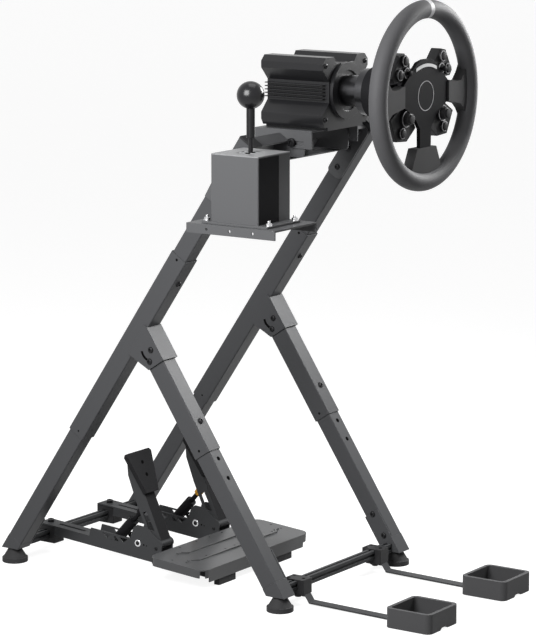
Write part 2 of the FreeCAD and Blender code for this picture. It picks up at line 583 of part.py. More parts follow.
subpart("heel_plate", on_rail(heel_plate()))
place("heel_front_y", "rear_bar_y - (heel_back + heel_depth)*cos(rail_lean) - rail_height*sin(rail_lean)")
place("heel_front_z", "rail_seat - (heel_back + heel_depth)*sin(rail_lean) + rail_height*cos(rail_lean)")
pair("heel_feet", block(("heel_foot_width", "heel_foot_depth", "heel_front_z"),
                        ("heel_foot_x - heel_foot_width/2", "heel_front_y + arm_sheet + 0.9", "0")))


# Deck carrier, tray and motor
def deck_carrier():
    """A folded carrier between the upper tubes, with two ears under the tray."""
    inner = "foot_half_x - half_inner"
    web = on_post(block((f"2*({inner})", "sheet", "deck_high - deck_web_low"),
                        (f"-foot_half_x - ({inner})", "deck_back - sheet", "deck_web_low")))
    lips = []
    for low, depth in (("deck_web_low", "deck_lip"), ("deck_high - sheet", "deck_top_lip")):
        lips.append(on_post(block((f"2*({inner})", depth, "sheet"),
                                  (f"-foot_half_x - ({inner})", f"deck_back - {depth}", low))))
    flange = block(("sheet", "deck_back + deck_front", "deck_high - deck_low"),
                   ("-half_inner - sheet", "-deck_front", "deck_low"))
    flange = on_post(rounded(flange, "deck_front - 6", (1, 0, 0)))
    ear = block(("sheet", "ear_length", "tray_height + ear_drop - sheet - 6"),
                ("tray_width/2 - 2*sheet", "-tray_front + (tray_length - ear_length)/2", "tray_top - tray_height - ear_drop"))
    ear = rounded(ear, "ear_corner", (1, 0, 0))
    notch = block(("tray_width + 2*slide_gap", "2*tray_length", "2*tray_height"),
                  ("-tray_width/2 - slide_gap", "-tray_front - tray_length/2", "tray_top - tray_height - slide_gap"))
    return join(cut(join(web, *lips), notch), flange, mirrored(flange), ear, mirrored(ear))


subpart("deck_carrier", deck_carrier())


def motor_tray():
    """A folded tray under the motor, with two slots in each side."""
    back = "-tray_front"
    shell = block(("tray_width", "tray_length", "tray_height"), ("-tray_width/2", back, "tray_top - tray_height"))
    hollow = block(("tray_width - 2*sheet", "2*tray_length", "tray_height"),
                   ("sheet - tray_width/2", "-tray_front - tray_length/2", "tray_top - tray_height - sheet"))
    tray = cut(shell, hollow)
    for share in (0.25, 0.75):
        tray = cut(tray, block(("2*tray_width", "tray_slot_length", "tray_slot_width"),
                               ("-tray_width", f"-tray_front + tray_length*{share} - tray_slot_length/2",
                                "tray_top - tray_height + tray_slot_rise - tray_slot_width/2")))
    return tray


subpart("motor_tray", motor_tray())


def motor_section():
    """Right half of the housing's section, from the top valley down to the foot."""
    wide, tall, waist = "motor_half_width", "motor_half_height", "motor_waist"
    axis = "motor_axis_height"
    right = [("motor_valley_half", f"{axis} + {tall} - motor_valley_depth"),
             (f"motor_valley_half + motor_valley_depth*0.7", f"{axis} + {tall}"),
             (f"{wide} - motor_chamfer", f"{axis} + {tall}"), (wide, f"{axis} + {tall} - motor_chamfer"),
             (wide, f"{axis} + {tall} - motor_shoulder"), (waist, f"{axis} + motor_shoulder - 4"),
             (waist, f"{axis} - motor_shoulder + 4"), (wide, f"{axis} - {tall} + motor_shoulder"),
             (wide, f"{axis} - {tall} + motor_chamfer"), (f"{wide} - motor_chamfer*0.6", f"{axis} - {tall}"),
             ("motor_foot_half", f"{axis} - {tall}"), ("motor_foot_half", "tray_top")]
    left = [(f"-({x})", z) for x, z in reversed(right)]
    return right + left


place("plate_back", "-motor_front + motor_plate")


def motor_housing():
    body = outline("XZ", motor_section(), "motor_length - motor_plate", "plate_back")
    fins = []
    for step in range(-2, 3):
        height = f"motor_axis_height + {step}*fin_pitch - fin_thick/2"
        fins.append(block(("fin_depth + 1", "motor_length - motor_plate", "fin_thick"),
                          ("motor_waist - 1", "plate_back", height)))
    right = join(*fins)
    bore = bar("shaft_radius + 2", "shaft_inside", ("0", "plate_back", "motor_axis_height"), "y")
    return cut(join(body, right, mirrored(right)), bore)


def motor_face():
    plate = outline("XZ", motor_section(), "motor_plate", "-motor_front")
    boss = bar("boss_radius", "boss_height", ("0", "-motor_front - boss_height", "motor_axis_height"), "y")
    recess = bar("boss_recess", "boss_recess_depth", ("0", "-motor_front - boss_height", "motor_axis_height"), "y")
    bore = bar("shaft_radius + pin_gap", "100", ("0", "-motor_front - 50", "motor_axis_height"), "y")
    return cut(join(plate, boss), recess, bore)


subpart("motor_housing", motor_housing())
subpart("motor_face", motor_face())


# Steering wheel
place("shaft_back", "-motor_front + shaft_inside")
place("shaft_front", "-motor_front - boss_height - shaft_length")
place("coupler_front", "shaft_front - coupler_length")
place("hub_back", "-wheel_front + hub_plate_back")


def wheel_shaft():
    shaft = bar("shaft_radius", "shaft_back - shaft_front", ("0", "shaft_front", "motor_axis_height"), "y")
    coupler = bar("coupler_radius", "coupler_length", ("0", "coupler_front", "motor_axis_height"), "y")
    return join(shaft, coupler)


def rim(extra="0"):
    ring = doc.addObject("Part::Torus", "Ring")
    ring.setExpression("Radius1", tied("wheel_radius - grip_radius"))
    ring.setExpression("Radius2", tied(f"grip_radius + {extra}"))
    return put(ring, ("0", "-wheel_front", "motor_axis_height"), "90")


def face_points(points):
    """Right-hand corners about the wheel's axis, completed by their mirror images."""
    right = [(x, f"motor_axis_height + ({z})") for x, z in points]
    return right + [(f"-({x})", z) for x, z in reversed(right)]


def hub_plate():
    """A shield that narrows to the lower spoke."""
    half = "hub_half_width"
    shield = face_points([(f"{half}*0.12", "hub_top"), (f"{half}*0.38", "hub_top - 4"), (half, "hub_side_top"),
                          (half, "-hub_side_low"), ("hub_neck", "-hub_neck_low"),
                          ("low_spoke_half + 1", "-hub_neck_low - 20"), ("low_spoke_half", "-low_spoke_end")])
    return outline("XZ", shield, "hub_plate", "hub_back - hub_plate")


def spoke_grips():
    """Two padded side spokes and a padded foot on the lower spoke, hollowed to sit against the rim."""
    inner, front = "hub_half_width", "hub_back - hub_plate - spoke_proud"
    middle = "wheel_radius - 2*grip_radius"
    side = [(inner, "spoke_half + 3"), (f"{inner} + 26", "spoke_half - 2"), (f"{middle} - 20", "spoke_half - 1"),
            (f"{middle} - 8", "spoke_half + 12"), ("wheel_radius - grip_radius - 16", "spoke_half + spoke_flare + 6"),
            ("wheel_radius - grip_radius", "0"),
            ("wheel_radius - grip_radius - 16", "-spoke_half - spoke_flare - 6"),
            (f"{middle} - 8", "-spoke_half - 14"), (f"{middle} - 20", "-spoke_half - 4"),
            (f"{inner} + 26", "-spoke_half - 1"), (inner, "-hub_side_low - 1")]
    right = outline("XZ", [(x, f"motor_axis_height + {z}") for x, z in side], "spoke_thick", front)
    foot = face_points([("low_grip_half", "-low_spoke_end"), ("low_grip_half + 15", "-low_spoke_end - 31"),
                        ("low_grip_flare", "-low_spoke_end - 49"), ("20", "-wheel_radius + grip_radius")])
    low = outline("XZ", foot, "spoke_thick", front)
    ring = rim("rim_gap")
    right = cut(right, ring)
    both = doc.addObject("Part::Compound", "Both")
    both.Links = [right, mirrored(right), cut(low, ring)]
    return both


def hub_housing():
    return bar("hub_radius", "coupler_front - hub_back", ("0", "hub_back", "motor_axis_height"), "y")


def button_pods():
    """Two pods behind the right edge of the hub plate."""
    upper = [("pod_inner*1.55", "hub_top - 13"), ("pod_inner*1.55", "hub_top - 5"), ("pod_inner*2.2", "pod_top - 2"),
             ("pod_out - 22", "pod_top - 5"), ("pod_out", "pod_top - 42"), ("pod_out - 7", "pod_inner + 1"),
             ("pod_out - 38", "pod_inner")]
    lower = [("hub_half_width - 8", "-hub_side_low + 2"), ("pod_low_out", "-pod_low + 41"),
             ("pod_low_out - 20", "-pod_low + 2"), ("pod_low_out - 53", "-pod_low"), ("low_spoke_half + 3", "-pod_low + 21"),
             ("low_spoke_half + 8", "-hub_neck_low - 10"), ("hub_neck + 9", "-hub_neck_low + 6")]
    pods = []
    for corners in (upper, lower):
        corners = [(x, f"motor_axis_height + {z}") for x, z in corners]
        pods.append(outline("XZ", corners, "pod_thick", "hub_back"))
    both = doc.addObject("Part::Compound", "Both")
    both.Links = pods
    return both


def paddle():
    return block(("paddle_width", "paddle_thick", "paddle_height"),
                 ("paddle_x - paddle_width/2", "hub_back + paddle_lift", "motor_axis_height - paddle_height/2"))


subpart("wheel_shaft", wheel_shaft())
subpart("wheel_rim", rim())
subpart("hub_plate", hub_plate())
subpart("spoke_grips", spoke_grips())
pods = button_pods()
housing = hub_housing()
subpart("hub_housing", housing)
clear = bar("hub_radius + rim_gap", "200", ("0", "hub_back - 50", "motor_axis_height"), "y")
pair("button_pods", pods)
pair("shift_paddles", cut(paddle(), clear))


# Shelf and gear shifter
def shelf():
    """A folded shelf with an upright gusset that is screwed to the left upper tube."""
    inside = "foot_half_x + half_inner"
    width, front = f"shelf_out - ({inside})", "-shelf_back - shelf_length"
    shell = block((width, "shelf_length", "shelf_fold"), ("-shelf_out", front, "shelf_top - shelf_fold"))
    hollow = block((f"{width} - 2*sheet", "shelf_length + 2", "shelf_fold - sheet"),
                   ("sheet - shelf_out", f"{front} - 1", "shelf_top - shelf_fold"))
    gusset = outline("YZ", [("-shelf_back", "shelf_top - sheet"), ("-shelf_back - gusset_reach", "shelf_top - sheet"),
                            ("-shelf_back - gusset_reach*0.4", "shelf_top + gusset_height"),
                            ("-shelf_back + gusset_reach*0.13", "shelf_top + gusset_height"),
                            ("-shelf_back + shelf_set_back", "shelf_top + gusset_height*0.3")], "sheet", f"-({inside}) - sheet")
    folded = cut(shell, hollow)
    for share in (0.23, 0.49, 0.75):
        folded = cut(folded, bar("shelf_hole_radius", "6*sheet", ("-shelf_out - 3*sheet", f"-shelf_back - shelf_length*{share}",
                                                                  "shelf_top - shelf_fold/2"), "x"))
    return join(folded, gusset)


subpart("shelf", shelf())
base = block(("base_width", "base_length", "base_thick"),
             ("-case_centre_x - base_width/2", "-shelf_back - base_set_back - base_length", "shelf_top"))
subpart("shifter_base", rounded(base, "tube_corner", (0, 0, 1)))

def shifter_case():
    """An open-topped case, bored for the lever's cross shaft."""
    shell = block(("case_width", "case_length", "case_height"),
                  ("-case_centre_x - case_width/2", "-case_centre_y - case_length/2", "case_low"))
    hollow = block(("case_width - 2*case_wall", "case_length - 2*case_wall", "case_height"),
                   ("case_wall - case_centre_x - case_width/2", "case_wall - case_centre_y - case_length/2",
                    "case_low + case_wall"))
    bore = bar("cross_radius + pin_gap", "case_length - case_wall", ("-case_centre_x", "-case_centre_y - case_length/2 + case_wall/2",
                                                         "lever_pivot_height"), "y")
    return cut(rounded(shell, "tube_corner", (0, 0, 1)), hollow, bore)


def shifter_gate():
    """The top plate with three lanes and a cross lane."""
    plate = block(("case_width", "case_length", "gate_thick"),
                  ("-case_centre_x - case_width/2", "-case_centre_y - case_length/2", "gate_low"))
    lanes = [block(("2*gate_side + gate_width", "gate_width", "3*gate_thick"),
                   ("-case_centre_x - gate_side - gate_width/2", "-case_centre_y - gate_width/2", "gate_low - gate_thick"))]
    for step in (-1, 0, 1):
        lanes.append(block(("gate_width", "gate_fore + gate_width", "3*gate_thick"),
                           (f"-case_centre_x + {step}*gate_side - gate_width/2",
                            "-case_centre_y - gate_fore/2 - gate_width/2", "gate_low - gate_thick")))
    return cut(rounded(plate, "tube_corner", (0, 0, 1)), join(*lanes))


def cross_shaft():
    """The side-to-side shaft with the block that carries the lever."""
    ends = "case_length/2 - case_wall/2 - pin_gap"
    shaft = bar("cross_radius", f"2*({ends})", ("-case_centre_x", f"-case_centre_y - ({ends})", "lever_pivot_height"), "y")
    hub = block(("2*cross_block", "2*cross_block", "2*cross_block"),
                ("-case_centre_x - cross_block", "-case_centre_y - cross_block", "lever_pivot_height - cross_block"))
    pin = bar("cross_radius - 1", "2*(cross_block + fork_gap + fork_width)",
              ("-case_centre_x - cross_block - fork_gap - fork_width", "-case_centre_y", "lever_pivot_height"), "x")
    return join(shaft, hub, pin)


def gear_stick():
    """A fork on the cross shaft's pin, a slim stick through the gate and a thick rod under the knob."""
    reach = "cross_block + fork_gap + fork_width"
    fork = block((f"2*({reach})", "2*cross_block", "2*cross_block + 12"),
                 (f"-case_centre_x - ({reach})", "-case_centre_y - cross_block", "lever_pivot_height - cross_block"))
    slot = block(("2*(cross_block + fork_gap)", "4*cross_block", "2*cross_block + 4"),
                 ("-case_centre_x - cross_block - fork_gap", "-case_centre_y - 2*cross_block",
                  "lever_pivot_height - cross_block"))
    bore = bar("cross_radius - 1 + pin_gap", "100", ("-case_centre_x - 50", "-case_centre_y", "lever_pivot_height"), "x")
    stick = bar("stick_radius", "grip_rod_low - lever_pivot_height - cross_block - 6",
                ("-case_centre_x", "-case_centre_y", "lever_pivot_height + cross_block + 6"))
    rod = bar("grip_rod_radius", "knob_height - knob_radius*0.8 - grip_rod_low",
              ("-case_centre_x", "-case_centre_y", "grip_rod_low"))
    return cut(join(fork, stick, rod), slot, bore)


def gear_knob():
    ball = doc.addObject("Part::Sphere", "Ball")
    ball.setExpression("Radius", tied("knob_radius"))
    put(ball, ("-case_centre_x", "-case_centre_y", "knob_height"))
    seat = bar("grip_rod_radius + pin_gap", "knob_radius", ("-case_centre_x", "-case_centre_y",
                                                            "knob_height - knob_radius*1.8"))
    return cut(ball, seat)


for name, maker in (("shifter_case", shifter_case), ("shifter_gate", shifter_gate), ("cross_shaft", cross_shaft),
                    ("gear_stick", gear_stick), ("gear_knob", gear_knob)):
    subpart(name, maker())


doc.recompute()
for item in doc.Objects:
    if "Invalid" in item.State or "Error" in item.State:
        raise RuntimeError(f"{item.Name} ({item.Label}) failed to rebuild: {item.State}")
for item in subparts:
    if item.Shape.isNull() or not item.Shape.isValid() or not item.Shape.Solids:
        raise RuntimeError(f"{item.Label} has no valid solid")

os.makedirs("parts", exist_ok=True)
for item in subparts:
    item.Shape.exportStep(f"parts/{item.Label}.step")
    box = item.Shape.BoundBox
    low = [round(value, 1) for value in (box.XMin, box.YMin, box.ZMin)]
    high = [round(value, 1) for value in (box.XMax, box.YMax, box.ZMax)]
    print(item.Label, len(item.Shape.Solids), "solids from", low, "to", high)
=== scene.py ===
import json
import math

import bmesh
import bpy
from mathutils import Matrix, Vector


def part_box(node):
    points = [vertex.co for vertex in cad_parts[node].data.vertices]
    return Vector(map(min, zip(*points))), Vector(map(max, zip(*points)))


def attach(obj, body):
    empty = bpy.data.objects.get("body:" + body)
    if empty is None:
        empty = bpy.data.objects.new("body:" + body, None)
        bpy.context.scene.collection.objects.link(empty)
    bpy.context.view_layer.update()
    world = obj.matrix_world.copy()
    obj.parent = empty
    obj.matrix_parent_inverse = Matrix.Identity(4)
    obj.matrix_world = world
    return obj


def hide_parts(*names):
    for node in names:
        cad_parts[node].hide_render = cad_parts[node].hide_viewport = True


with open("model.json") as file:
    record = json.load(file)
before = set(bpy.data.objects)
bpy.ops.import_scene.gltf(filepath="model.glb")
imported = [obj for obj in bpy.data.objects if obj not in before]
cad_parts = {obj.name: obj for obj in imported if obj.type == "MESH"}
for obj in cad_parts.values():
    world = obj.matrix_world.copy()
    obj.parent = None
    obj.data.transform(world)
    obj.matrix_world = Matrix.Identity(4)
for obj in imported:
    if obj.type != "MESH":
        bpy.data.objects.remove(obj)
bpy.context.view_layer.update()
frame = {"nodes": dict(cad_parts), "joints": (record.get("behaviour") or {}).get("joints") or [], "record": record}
record = frame["record"]
bodyOf = {node: body for body, members in record["behaviour"]["bodies"].items() for node in members}
slotOf = {row["node"]: row["material_slot"] for row in record["subparts"]}
jointAt = {joint["name"]: Vector(joint["pos_m"]) for joint in frame["joints"] if joint.get("pos_m")}
scene = bpy.context.scene
scene.view_settings.view_transform = "Standard"
mm = 0.001
print("frame loaded:", len(bodyOf), "nodes")


def middleOf(*names):
    corners = [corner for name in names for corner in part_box(name)]
    low = Vector(min(c[i] for c in corners) for i in range(3))
    high = Vector(max(c[i] for c in corners) for i in range(3))
    return (low + high) / 2


feetMiddle = middleOf("rear_feet", "front_feet")
feetMiddle.z = 0


def rigPoint(x, y, z):  # millimetres from the middle of the four feet, on the floor
    return feetMiddle + Vector((x, y, z)) * mm


def inRig(point):  # back to those millimetres
    return (Vector(point) - feetMiddle) / mm


# Finishes

surface = {"plainSheen": 0.18, "cloudScale": 14, "cloudDetail": 4, "grainDetail": 3, "grainDepth": 0.0004}
finishes = {
    "frameCoat": {"color": (0.062, 0.063, 0.066), "rough": 0.36, "grain": 900, "bump": 0.08, "mottle": 0.08,
                  "sheen": 0.07},
    "deckCoat": {"color": (0.074, 0.075, 0.078), "rough": 0.46, "grain": 900, "bump": 0.10, "mottle": 0.10},
    "pedalCoat": {"color": (0.046, 0.047, 0.049), "rough": 0.46, "grain": 800, "bump": 0.08, "mottle": 0.08,
                  "sheen": 0.06},
    "heelCoat": {"color": (0.066, 0.067, 0.069), "rough": 0.26, "bump": 0.0, "mottle": 0.05, "sheen": 0.16},
    "caseCoat": {"color": (0.075, 0.076, 0.079), "rough": 0.42, "grain": 900, "bump": 0.08, "mottle": 0.08},
    "gateCoat": {"color": (0.200, 0.202, 0.207), "rough": 0.42, "grain": 900, "bump": 0.06, "mottle": 0.08},
    "motorAnodise": {"color": (0.011, 0.011, 0.012), "rough": 0.30, "grain": 500, "bump": 0.02, "mottle": 0.08,
                     "sheen": 0.25},
    "blackAnodise": {"color": (0.010, 0.010, 0.011), "rough": 0.50, "grain": 700, "bump": 0.05, "mottle": 0.08,
                     "sheen": 0.03},
    "mouldedBlack": {"color": (0.022, 0.022, 0.023), "rough": 0.48, "grain": 600, "bump": 0.10, "mottle": 0.08,
                     "sheen": 0.10},
    "ballGloss": {"color": (0.006, 0.006, 0.007), "rough": 0.22, "bump": 0.0, "mottle": 0.03, "sheen": 0.3},
    "mattRubber": {"color": (0.030, 0.030, 0.031), "rough": 0.72, "grain": 450, "bump": 0.16, "mottle": 0.12},
    "padRubber": {"color": (0.016, 0.016, 0.017), "rough": 0.70, "grain": 450, "bump": 0.16, "mottle": 0.12,
                  "sheen": 0.06},
    "cupRubber": {"color": (0.058, 0.058, 0.060), "rough": 0.62, "grain": 450, "bump": 0.14, "mottle": 0.12},
    "brightSteel": {"color": (0.56, 0.56, 0.57), "rough": 0.26, "metal": 1.0, "grain": 700, "bump": 0.04,
                    "mottle": 0.06},
    "darkChrome": {"color": (0.055, 0.055, 0.058), "rough": 0.28, "metal": 1.0, "grain": 500, "bump": 0.02,
                   "mottle": 0.06},
    "goldAnodise": {"color": (0.42, 0.22, 0.03), "rough": 0.30, "metal": 1.0, "grain": 500, "bump": 0.02,
                    "mottle": 0.06},
    "blackScrew": {"color": (0.014, 0.014, 0.015), "rough": 0.34, "metal": 0.4, "grain": 600, "bump": 0.03,
                   "mottle": 0.06},
    "paleLens": {"color": (0.86, 0.86, 0.86), "rough": 0.30, "bump": 0.0, "mottle": 0.04},
    "silverPaint": {"color": (0.50, 0.50, 0.51), "rough": 0.40, "grain": 700, "bump": 0.05, "mottle": 0.06},
    # near-black for painted shade in holes and slots
    "holeShade": {"color": (0.004, 0.004, 0.004), "rough": 0.9, "bump": 0.0, "mottle": 0.0, "sheen": 0.0},
}


def addNode(tree, kind, values=None):  # a node with some of its inputs set
    node = tree.nodes.new(kind)
    for label, value in (values or {}).items():
        node.inputs[label].default_value = value
    return node


def makeFinish(name, look):
    material = bpy.data.materials.new(name)
    material.use_nodes = True
    tree = material.node_tree
    join = tree.links.new
    shader = tree.nodes["Principled BSDF"]
    shader.inputs["Base Color"].default_value = (*look["color"], 1)
    shader.inputs["Metallic"].default_value = look.get("metal", 0)
    shader.inputs["Roughness"].default_value = look["rough"]
    shader.inputs["Specular IOR Level"].default_value = look.get("sheen", surface["plainSheen"])
    where = addNode(tree, "ShaderNodeTexCoord").outputs["Object"]
    if look["mottle"]:  # slow change of gloss over the surface
        cloud = addNode(tree, "ShaderNodeTexNoise", {"Scale": surface["cloudScale"],
                                                     "Detail": surface["cloudDetail"]})
        gloss = addNode(tree, "ShaderNodeMapRange", {"To Min": look["rough"] * (1 - look["mottle"]),
                                                     "To Max": look["rough"] * (1 + look["mottle"])})
        join(where, cloud.inputs["Vector"])
        join(cloud.outputs["Fac"], gloss.inputs["Value"])
        join(gloss.outputs["Result"], shader.inputs["Roughness"])
    if look["bump"]:
        grain = addNode(tree, "ShaderNodeTexNoise", {"Scale": look["grain"], "Detail": surface["grainDetail"]})
        bump = addNode(tree, "ShaderNodeBump", {"Strength": look["bump"], "Distance": surface["grainDepth"]})
        join(where, grain.inputs["Vector"])
        join(grain.outputs["Fac"], bump.inputs["Height"])
        join(bump.outputs["Normal"], shader.inputs["Normal"])
    return material


materials = {name: makeFinish(name, look) for name, look in finishes.items()}

gripHide = {"color": (0.066, 0.066, 0.069), "rough": 0.62, "mottle": 0.12, "pebble": 620, "crease": 70,
            "grainBump": 0.35, "grainDepth": 0.0005}


def makeLeather(name, look):
    material = makeFinish(name, {**look, "bump": 0})
    tree = material.node_tree
    join = tree.links.new
    shader = tree.nodes["Principled BSDF"]
    where = next(node for node in tree.nodes if node.type == "TEX_COORD").outputs["Object"]
    pebble = addNode(tree, "ShaderNodeTexVoronoi", {"Scale": look["pebble"]})  # fine grain of the hide
    crease = addNode(tree, "ShaderNodeTexNoise", {"Scale": look["crease"]})
    height = addNode(tree, "ShaderNodeMath")
    height.operation = "ADD"
    bump = addNode(tree, "ShaderNodeBump", {"Strength": look["grainBump"], "Distance": look["grainDepth"]})
    join(where, pebble.inputs["Vector"])
    join(where, crease.inputs["Vector"])
    join(pebble.outputs["Distance"], height.inputs[0])
    join(crease.outputs["Fac"], height.inputs[1])
    join(height.outputs["Value"], bump.inputs["Height"])
    join(bump.outputs["Normal"], shader.inputs["Normal"])
    return material


materials["gripLeather"] = makeLeather("gripLeather", gripHide)
print("finishes made:", len(materials))


# Pieces taken from the solids, with their edges broken

def dress(piece, body, slot, *stoodFor):
    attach(piece, body)
    if stoodFor:
        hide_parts(*stoodFor)
    return piece


def newPiece(name, mesh, finish):
    piece = bpy.data.objects.new(name, mesh)
    scene.collection.objects.link(piece)
    if finish:
        mesh.materials.clear()
        mesh.materials.append(materials[finish])
    return piece


def evenNormals(mesh, smoothAngle):  # wide faces stay flat, only the narrow ones between them turn
    limit = math.cos(math.radians(smoothAngle))
    around = [[] for _ in mesh.vertices]
    for face in mesh.polygons:
        for corner in face.vertices:
            around[corner].append((face.normal.copy(), face.area))
    normals = []
    for face in mesh.polygons:
        for corner in face.vertices:
            blend = Vector((0, 0, 0))
            for normal, area in around[corner]:
                if normal.dot(face.normal) >= limit:
                    blend += normal * area
            normals.append(blend.normalized() if blend.length else face.normal.copy())
    mesh.normals_split_custom_set(normals)


def settled(piece, smoothAngle=50):  # modifiers into the mesh, smooth shading between sharp edges
    graph = bpy.context.evaluated_depsgraph_get()
    mesh = bpy.data.meshes.new_from_object(piece.evaluated_get(graph))
    piece.modifiers.clear()
    piece.data = mesh
    mesh.shade_smooth()
    evenNormals(mesh, smoothAngle)
    return piece


edgeWork = {"weld": 0.00002, "flatWithin": 0.6, "bevelFrom": 38, "segments": 2}  # metres and degrees
nodeLooks = {  # finish and edge radius in millimetres
    "post_tubes": ("frameCoat", 1.6), "leg_tubes": ("frameCoat", 1.6), "upper_tubes": ("frameCoat", 1.6),
    "strut_tubes": ("frameCoat", 1.6), "strut_legs": ("frameCoat", 1.6), "knuckle_brackets": ("frameCoat", 0.5),
    "leg_shoes": ("frameCoat", 0.7), "strut_shoes": ("frameCoat", 0.7), "tube_caps": ("mouldedBlack", 0.6),
    "rear_bar": ("pedalCoat", 0.6), "front_bar": ("pedalCoat", 0.6),
    "rear_feet": ("mattRubber", 0.8), "front_feet": ("mattRubber", 0.8),
    "rear_clamps": ("mouldedBlack", 0.8), "front_clamps": ("mouldedBlack", 0.8),
    "left_stop_bar": ("pedalCoat", 0.0), "right_stop_bar": ("pedalCoat", 0.0),
    "left_stop_cup": ("cupRubber", 1.2), "right_stop_cup": ("cupRubber", 1.2),
    "deck_carrier": ("deckCoat", 0.5), "motor_tray": ("deckCoat", 0.5), "shelf": ("deckCoat", 0.5),
    "motor_housing": ("motorAnodise", 0.5), "motor_face": ("motorAnodise", 0.8),
    "wheel_shaft": ("darkChrome", 0.5), "wheel_rim": ("gripLeather", 0.0), "hub_plate": ("blackAnodise", 0.6),
    "hub_housing": ("blackAnodise", 0.8), "shift_paddles": ("blackAnodise", 0.5),
    "button_pods": ("mouldedBlack", 1.0), "spoke_grips": ("mattRubber", 2.0),
    "shifter_base": ("deckCoat", 0.5), "shifter_case": ("caseCoat", 1.2), "shifter_gate": ("gateCoat", 0.3),
    "cross_shaft": ("brightSteel", 0.3), "gear_stick": ("blackScrew", 0.4), "gear_knob": ("ballGloss", 0.0),
    "throttle_base": ("pedalCoat", 0.4), "throttle_arm": ("pedalCoat", 0.4), "throttle_pad": ("padRubber", 1.0),
    "brake_base": ("pedalCoat", 0.4), "brake_arm": ("pedalCoat", 0.4), "brake_pad": ("padRubber", 1.0),
    "throttle_damper": ("blackAnodise", 0.5), "throttle_damper_rod": ("blackAnodise", 0.3),
    "brake_damper": ("blackAnodise", 0.5), "brake_damper_rod": ("blackAnodise", 0.3),
    "heel_plate": ("heelCoat", 0.6), "heel_feet": ("mattRubber", 0.6),
}


def camelName(node):
    first, *rest = node.split("_")
    return first + "".join(word.capitalize() for word in rest)


def softNode(node):
    finish, edge = nodeLooks[node]
    mesh = frame["nodes"][node].data.copy()
    work = bmesh.new()
    work.from_mesh(mesh)
    bmesh.ops.remove_doubles(work, verts=work.verts, dist=edgeWork["weld"])
    if edge:
        bmesh.ops.dissolve_limit(work, angle_limit=math.radians(edgeWork["flatWithin"]), verts=work.verts,
                                 edges=work.edges, delimit={"NORMAL"})
    work.to_mesh(mesh)
    work.free()
    piece = newPiece(camelName(node), mesh, finish)
    if edge:
        bevel = piece.modifiers.new("edges", "BEVEL")
        bevel.width = edge * mm
        bevel.segments = edgeWork["segments"]
        bevel.limit_method = "ANGLE"
        bevel.angle_limit = math.radians(edgeWork["bevelFrom"])
    return dress(settled(piece), bodyOf[node], slotOf[node], node)


softPieces = {node: softNode(node) for node in bodyOf}
print("solids softened:", len(softPieces))


# Small turned parts, set out in rows by one node tree

turned = {"sides": 28, "weld": 0.000001}
shapes = {  # radius and height in millimetres, from the seat upwards
    "buttonHead": [(0, 0), (5.6, 0), (5.6, 0.9), (4.9, 2.3), (3.6, 3.0), (2.7, 3.1), (2.5, 2.9), (2.5, 1.2),
                   (0, 1.2)],
    "capScrew": [(0, 0), (5.4, 0), (5.4, 4.6), (5.0, 5.2), (3.0, 5.2), (2.8, 5.0), (2.8, 2.4), (0, 2.4)],
    "washerHead": [(0, 0), (8.2, 0), (8.2, 1.1), (7.9, 1.4), (5.6, 1.4), (5.6, 2.6), (4.6, 4.0), (2.8, 4.4),
                   (2.6, 4.2), (2.6, 2.2), (0, 2.2)],
    "knobBolt": [(0, 0), (4.2, 0), (4.2, 2.4), (7.0, 2.4), (7.6, 3.0), (7.6, 6.4), (7.0, 7.0), (3.2, 7.0),
                 (3.0, 6.8), (3.0, 4.6), (0, 4.6)],
    "hexNut": [(0, 0), (7.6, 0), (7.6, 1.0), (6.0, 1.2), (5.8, 5.2), (4.4, 6.0), (3.0, 6.2), (3.0, 9.6),
               (2.4, 10.2), (0, 10.2)],
    "thinRing": [(7.9, 0), (9.4, 0), (9.4, 0.5), (9.2, 0.8), (8.1, 0.8), (7.9, 0.5), (7.9, 0)],
    "pushButton": [(0, 0), (7.4, 0), (7.4, 2.4), (6.9, 3.0), (4.0, 3.5), (0, 3.6)],
    "stickButton": [(0, 0), (7.4, 0), (7.4, 1.2), (3.4, 1.6), (3.4, 5.6), (5.2, 6.2), (5.2, 8.0), (4.4, 8.8),
                    (0, 9.0)],
    "rotaryKnob": [(0, 0), (10.4, 0), (10.4, 7.5), (9.8, 8.4), (8.2, 8.8), (8.2, 11.6), (7.6, 12.3), (0, 12.4)],
    "boltRing": [(4.6, 0), (8.0, 0), (8.0, 1.2), (7.2, 1.9), (5.2, 1.9), (4.6, 1.4), (4.6, 0)],
    # a flat disc a hair proud of the surface, carrying painted shade in place of a hole
    "dimple": [(0, 0), (3.0, 0), (3.0, 0.12), (0, 0.16)],
    "bezel": [(0, 0), (10.2, 0), (10.2, 3.2), (9.6, 3.8), (0, 3.8)],
    "wideRing": [(12.6, 0), (14.2, 0), (14.2, 0.5), (14.0, 0.8), (12.8, 0.8), (12.6, 0.5), (12.6, 0)],
    "hubRing": [(24.8, 0), (26.0, 0), (26.0, 0.3), (24.8, 0.3), (24.8, 0)],
    "sleeve": [(4.7, 0), (7.4, 0), (7.9, 0.6), (7.9, 9.4), (7.4, 10), (4.7, 10), (4.7, 0)],
}


def turnedMesh(name):
    sides = turned["sides"]
    work = bmesh.new()
    rings = []
    for radius, height in shapes[name]:
        turns = [2 * math.pi * i / sides for i in range(sides)] if radius else [0]
        rings.append([work.verts.new((radius * mm * math.cos(turn), radius * mm * math.sin(turn), height * mm))
                      for turn in turns])
    for low, high in zip(rings, rings[1:]):
        for i in range(sides):
            j = (i + 1) % sides
            around = [low[i % len(low)], low[j % len(low)], high[j % len(high)], high[i % len(high)]]
            corners = list(dict.fromkeys(around))
            if len(corners) > 2:
                work.faces.new(corners)
    bmesh.ops.remove_doubles(work, verts=work.verts, dist=turned["weld"])
    bmesh.ops.recalc_face_normals(work, faces=work.faces)
    mesh = bpy.data.meshes.new(name)
    work.to_mesh(mesh)
    work.free()
    return mesh


